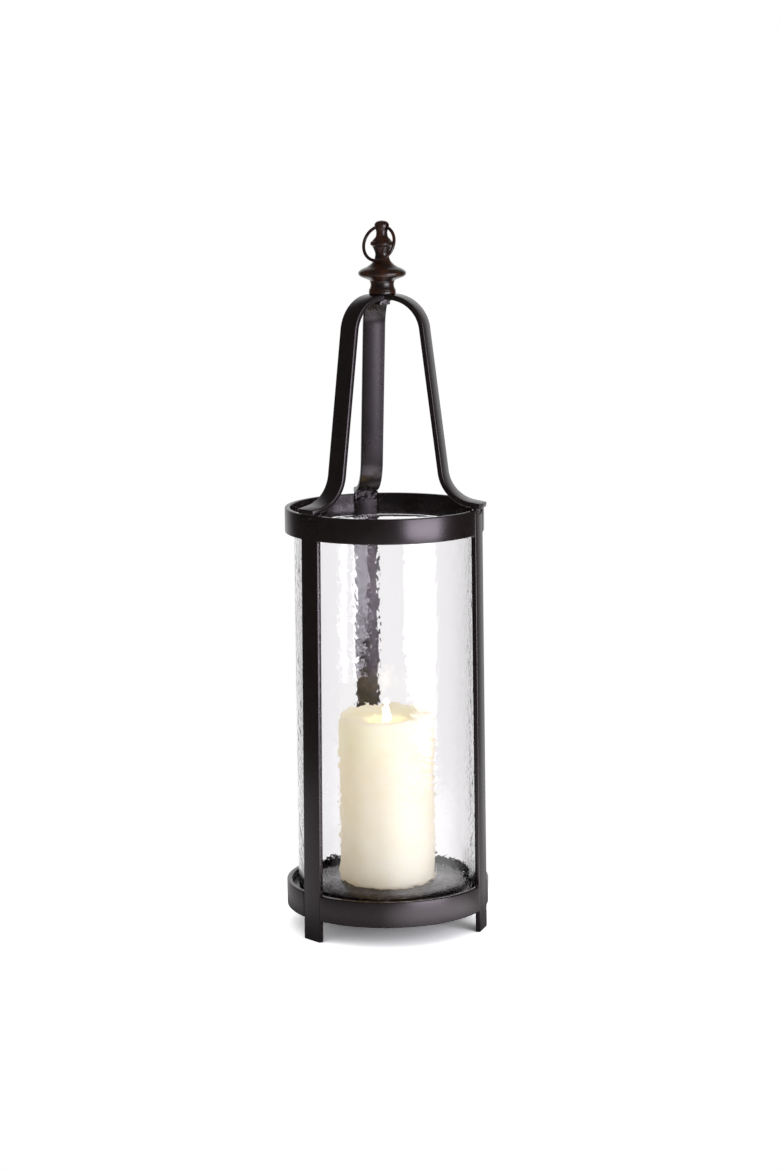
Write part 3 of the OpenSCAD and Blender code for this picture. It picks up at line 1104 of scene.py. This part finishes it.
@dataclass
class Candle:
    """The battery pillar candle: wax body, flame tongue and the light unit inside."""

    wax: Material
    plastic: Material
    dark: Material
    steel: Material
    foot_z: float = 36
    tall: float = 134
    radius: float = 38
    cavity_r: float = 30.1
    neck_r: float = 6.3
    core_top: float = 100.1
    bowl_z: float = 115
    flame_w: float = 8
    flame_up: float = 12.6
    # How far the flame tongue reaches under the wax rim, and its depth per width
    flame_down: float = 12
    flame_flat: float = 0.36
    stem: Pair = (5.0, 1.5)
    stem_edge: float = 0.4
    foot_r: float = 4.5
    steps: int = 144
    # Melted rim: how far down its waves start and the height they grow over, then how high
    # they are and how much they lift the rim
    melt: Pair = (22, 18)
    wave: Pair = (1.2, 0.5)
    # Hollows in the side: distance, depth, and the share that lies inside the round
    dents: tuple[float, float, float] = (16, 0.3, 0.7)

    def body(self) -> BMesh:
        """Pours the wax body and melts its rim.

        Returns:
            Its mesh in millimetres.
        """
        bm = bmesh.new()
        r, h = self.radius, self.tall
        low = self.foot_r
        foot = [(r - low + low * sin(radians(a)), low - low * cos(radians(a)))
                for a in range(0, 91, 15)]
        side = [(r, z) for z in (12, 22, 34, 46, 58, 70, 82, 94, 104, 112, 119, 124, 127.5, 129.5)]
        rim = [(r - 0.5, h - 1.4), (r - 1.6, h - 0.4), (r - 2.8, h - 0.2), (r - 4.2, h - 0.7),
               (r - 6, h - 1.5), (r - 9, h - 2.5), (r - 13, h - 3.3), (r - 18, h - 4),
               (17, h - 4.6), (15.2, h - 5.6), (14.3, h - 8), (13.4, h - 14),
               (12, self.bowl_z + 0.6), (10, self.bowl_z)]
        inner = [(self.neck_r, self.bowl_z), (self.neck_r, self.core_top),
                 (self.cavity_r, self.core_top), (self.cavity_r, 0)]
        lathe(bm, [*foot, *side, *rim, *inner], self.steps, closed=True)
        start = h - self.melt[0]
        for v in bm.verts:
            out = hypot(v.co.x, v.co.y)
            if out < 9 or (v.co.z < 1 and out < self.cavity_r + 1):
                continue
            round_it = Vector((v.co.x, v.co.y, 0)) / out
            if v.co.z > start:
                lift = min(1, (v.co.z - start) / self.melt[1]) * min(1, max(0, (out - 22) / 12))
                wave = noise.noise(round_it * 1.6 + Vector((2.2, 9.1, 4.0)))
                wave += 0.5 * noise.noise(round_it * 4.2 + Vector((7.7, 1.3, 0)))
                v.co.z += lift * (self.wave[0] * wave + self.wave[1])
            if out > self.radius - 6 and v.co.z > 1:
                size, depth, share = self.dents
                v.co += round_it * depth * (noise.noise(v.co / size) - share)
        bmesh.ops.translate(bm, vec=(0, 0, self.foot_z), verts=bm.verts[:])
        return bm

    def flame(self) -> BMesh:
        """Moulds the flame tongue on its stem.

        Returns:
            Its mesh in millimetres.
        """
        bm = bmesh.new()
        base, tall = self.tall - self.flame_down, self.flame_down + self.flame_up
        shape = [(0.5 * self.flame_w * sin(pi * t**0.72) ** 0.8 * (1 - 0.15 * t), base + t * tall)
                 for t in (k / 24 for k in range(1, 24))]
        lathe(bm, [(0, base + 0.2), *shape, (0, base + tall)], 32)
        bmesh.ops.scale(bm, vec=(1, self.flame_flat, 1), verts=bm.verts[:])
        stem = bmesh.new()
        bmesh.ops.create_cube(stem, size=1)
        low, high = self.core_top + 3, base + 2.5
        bmesh.ops.scale(stem, vec=(*self.stem, high - low), verts=stem.verts[:])
        bmesh.ops.translate(stem, vec=(0, 0, (low + high) / 2), verts=stem.verts[:])
        ease(stem, self.stem_edge)
        merge_in(bm, stem)
        bmesh.ops.translate(bm, vec=(0, 0, self.foot_z), verts=bm.verts[:])
        return bm

    def build(self) -> None:
        """Makes and dresses the candle's pieces."""
        finish_piece("candle_wax_body", self.body(), self.wax, ["candle_wax"],
                     body="candle", crease=60)
        rim = self.foot_z + self.tall
        lit = LitFlame(rim - self.flame_down, rim + self.flame_up).material()
        finish_piece("flame_tongue", self.flame(), lit, ["candle_flame"],
                     body="flame")
        for node in ("candle_core", "candle_cap", "candle_door"):
            dress(node, self.plastic)
        dress("candle_switch", self.dark)
        dress("flame_wire", self.steel)


# ---- studio


@dataclass(frozen=True)
class Lamp:
    """One soft box, level and facing the axis. Its turn counts from the camera's side."""

    name: str
    turn: float
    distance: float
    height: float
    size: Pair
    power: float
    colour: str = "F8F6FF"


@dataclass
class Studio:
    """Camera, two soft boxes one over the other, pale floor and white surround, in metres."""

    turn: float = -11.55
    distance: float = 2.261
    height: float = 0.6493
    side: float = 0.00388
    aim_z: float = 0.2724
    roll: float = -0.0090
    lens: float = 89.97
    sweep: Pair = (1.07, 6)
    lamps: tuple[Lamp, ...] = (
        Lamp("key_box", 45, 1.35, 0.15, (1.04, 0.58), 13.0),
        Lamp("key_top", 45, 1.35, 0.67, (1.04, 0.46), 5.0),
    )
    # Surround: its level on matt surfaces, and in reflections (dark room, sheet behind)
    fill: float = 1.0
    room: Pair = (0.03, 1.0)
    # Cosines of the sheet's edge and middle
    sheet: Pair = (0.6, 1.0)
    # Floor: a lit surface out to the first radius, plain white from the second
    feet: Pair = (0.085, 0.15)
    # Its lit surface's colour as a light source, and as it is seen
    pale: Pair = (0.8, 1.8)
    # Its white part's level on matt surfaces, and its level in reflections at two distances: a
    # painted pool of light that fades away from the lantern
    bounce: float = 1.2
    pool_at: Pair = (0.15, 1.0)
    pool: Pair = (0.5, 0.12)
    # A painted reflection of the soft boxes on it, seen only in reflections: direction, distances
    # of its fading, strength
    gloss_turn: float = 44
    gloss_at: Pair = (0.4, 0.8)
    gloss: float = 2.0
    # Painted light from the sheet behind, that it shows in reflections
    rear: float = 0.8

    def place(self, turn: float, distance: float, height: float) -> Vector:
        """A point round the lantern.

        Args:
            turn: degrees round from the camera's side.
            distance: from the axis.
            height: above the floor.

        Returns:
            The point.
        """
        return outward(self.turn + turn) @ Vector((distance, 0, height))

    def camera(self) -> None:
        """Sets the camera where the fitted view puts it."""
        eye = self.place(0, self.distance, self.height)
        right = (outward(self.turn).to_3x3() @ Vector((0, 1, 0))).normalized()
        look = (right * self.side + UP * self.aim_z - eye).normalized()
        right = look.cross(UP).normalized()
        up = right.cross(look)
        tilted = right * cos(self.roll) + up * sin(self.roll)
        up = up * cos(self.roll) - right * sin(self.roll)
        data = bpy.data.cameras.new("camera")
        data.lens, data.sensor_width = self.lens, 36
        data.clip_start, data.clip_end = 0.05, 50
        cam = bpy.data.objects.new("camera", data)
        basis = Matrix((tilted, up, -look)).transposed().to_4x4()
        cam.matrix_world = Matrix.Translation(eye) @ basis
        bpy.context.scene.collection.objects.link(cam)
        bpy.context.scene.camera = cam

    def lights(self) -> None:
        """Hangs the soft boxes, each facing the lantern."""
        for lamp in self.lamps:
            data = bpy.data.lights.new(lamp.name, "AREA")
            data.shape, data.size, data.size_y = "RECTANGLE", *lamp.size
            data.energy = lamp.power
            data.color = tint(lamp.colour)[:3]
            box = bpy.data.objects.new(lamp.name, data)
            spot = self.place(lamp.turn, lamp.distance, lamp.height)
            box.location = spot
            box.rotation_mode = "QUATERNION"
            box.rotation_quaternion = (UP * lamp.height - spot).to_track_quat("-Z", "Y")
            bpy.context.scene.collection.objects.link(box)

    def sight(self, tree: NodeTree) -> tuple[NodeSocket, NodeSocket]:
        """Tells how a backdrop is met.

        Args:
            tree: the backdrop's nodes.

        Returns:
            Two switches: met in plain view or through glass, and met in a reflection.
        """
        rays = add(tree, "LightPath").outputs
        mirrored = calc(tree, "GREATER_THAN", rays["Glossy Depth"], 0.5)
        soaked = calc(tree, "GREATER_THAN", rays["Diffuse Depth"], 0.5)
        plain = calc(tree, "MAXIMUM", rays["Is Camera Ray"], rays["Is Transmission Ray"])
        turned = calc(tree, "MAXIMUM", mirrored, soaked)
        seen = add(tree, "Math", {"operation": "SUBTRACT", "use_clamp": True}, n0=plain,
                   n1=turned).outputs[0]
        return seen, mirrored

    def near(self, tree: NodeTree, way: NodeSocket, turn: float, levels: Pair) -> NodeSocket:
        """Sets a level by how near a direction comes to one round the lantern.

        Args:
            tree: the backdrop's nodes.
            way: the direction.
            turn: the one that it is held against, in degrees round from the camera's side.
            levels: the level away from it and straight along it.

        Returns:
            The level.
        """
        cosine = add(tree, "VectorMath", {"operation": "DOT_PRODUCT"}, n0=way,
                     n1=self.place(turn, 1, 0)).outputs["Value"]
        return spread(tree, cosine, self.sheet, levels, "SMOOTHSTEP")

    def floor(self) -> None:
        """Lays the pale sweep, which takes the shadow near the feet and is plain white beyond.

        It gives the eye a matt white studio table that fades into the background. In reflections it
        shows painted light: a pool round the lantern, brighter towards the sheet behind, and a
        painted gloss of the soft boxes.
        """
        bm = bmesh.new()
        bmesh.ops.create_grid(bm, x_segments=1, y_segments=1, size=0.5)
        bm.transform(outward(self.turn) @ Matrix.Diagonal((self.sweep[1], self.sweep[0], 1, 1)))
        made, tree, place = blank("pale_floor")
        seen, mirrored = self.sight(tree)
        shown = add(tree, "Mix", n0=seen, n2=self.pale[0], n3=self.pale[1]).outputs[0]
        away = add(tree, "VectorMath", LENGTH, n0=place).outputs["Value"]
        way = add(tree, "VectorMath", {"operation": "NORMALIZE"}, n0=place).outputs[0]
        # Painted reflection of the soft boxes and a painted pool of light, seen only in reflections
        streak = self.near(tree, way, self.gloss_turn, (0.0, 1.0))
        fade = spread(tree, away, self.gloss_at, (self.gloss, 0.0), "SMOOTHSTEP")
        rear = self.near(tree, way, 180, (0.0, self.rear))
        calm = calc(tree, "ADD", spread(tree, away, self.pool_at, self.pool), rear)
        shine = calc(tree, "MULTIPLY_ADD", streak, fade, calm)
        other = add(tree, "Mix", n0=mirrored, n2=self.bounce, n3=shine).outputs[0]
        level = add(tree, "Mix", n0=seen, n2=other, n3=1.0).outputs[0]
        far = spread(tree, away, self.feet, (0.0, 1.0), "SMOOTHSTEP")
        flat = add(tree, "BsdfDiffuse", Color=shown)
        glow = add(tree, "Emission", Color=WHITE, Strength=level)
        both = add(tree, "MixShader", n0=far, n1=flat.outputs[0], n2=glow.outputs[0])
        add(tree, "OutputMaterial", Surface=both.outputs[0])
        floor = stand("studio_floor", bm)
        floor.data.materials.append(made)

    def surround(self) -> None:
        """Makes the surround white to the camera and through glass, dimmer as a light source."""
        world = bpy.data.worlds.new("surround")
        world.use_nodes = True
        tree = world.node_tree
        tree.nodes.clear()
        seen, mirrored = self.sight(tree)
        way = add(tree, "TexCoord").outputs["Generated"]
        sheet = self.near(tree, way, 180, self.room)
        shine = add(tree, "Mix", n0=mirrored, n2=self.fill, n3=sheet).outputs[0]
        level = add(tree, "Mix", n0=seen, n2=shine, n3=1.0).outputs[0]
        back = add(tree, "Background", Color=WHITE, Strength=level)
        add(tree, "OutputWorld", Surface=back.outputs[0])
        bpy.context.scene.world = world

    def build(self) -> None:
        """Sets the whole studio."""
        self.camera()
        self.lights()
        self.floor()
        self.surround()
        bpy.context.scene.view_settings.view_transform = "Standard"


def main() -> None:
    """Builds the lantern's sub-assemblies in order and then the studio."""
    logging.basicConfig(level=logging.INFO, format="%(name)s: %(message)s")
    bead = SatinPaint("painted_weld_bead", peel_mm=0.9, wave_mm=3, peel=0.3, wave=0.5)
    frame_work = Frame(SatinPaint().material(), bead.material())
    frame_work.build()
    Crown(frame_work).build()
    Finial(AgedBronze().material(), frame_work.bead).build()
    Chimney(HammeredGlass().material()).build()
    Candle(
        IvoryWax(painted_glow_mm=163).material(),
        MouldedPlastic("warm_white_abs", "E4DFD3").material(),
        MouldedPlastic("black_abs", "17171A", 0.4).material(),
        PlatedSteel().material(),
    ).build()
    Studio().build()


if __name__ == "__main__":
    main()
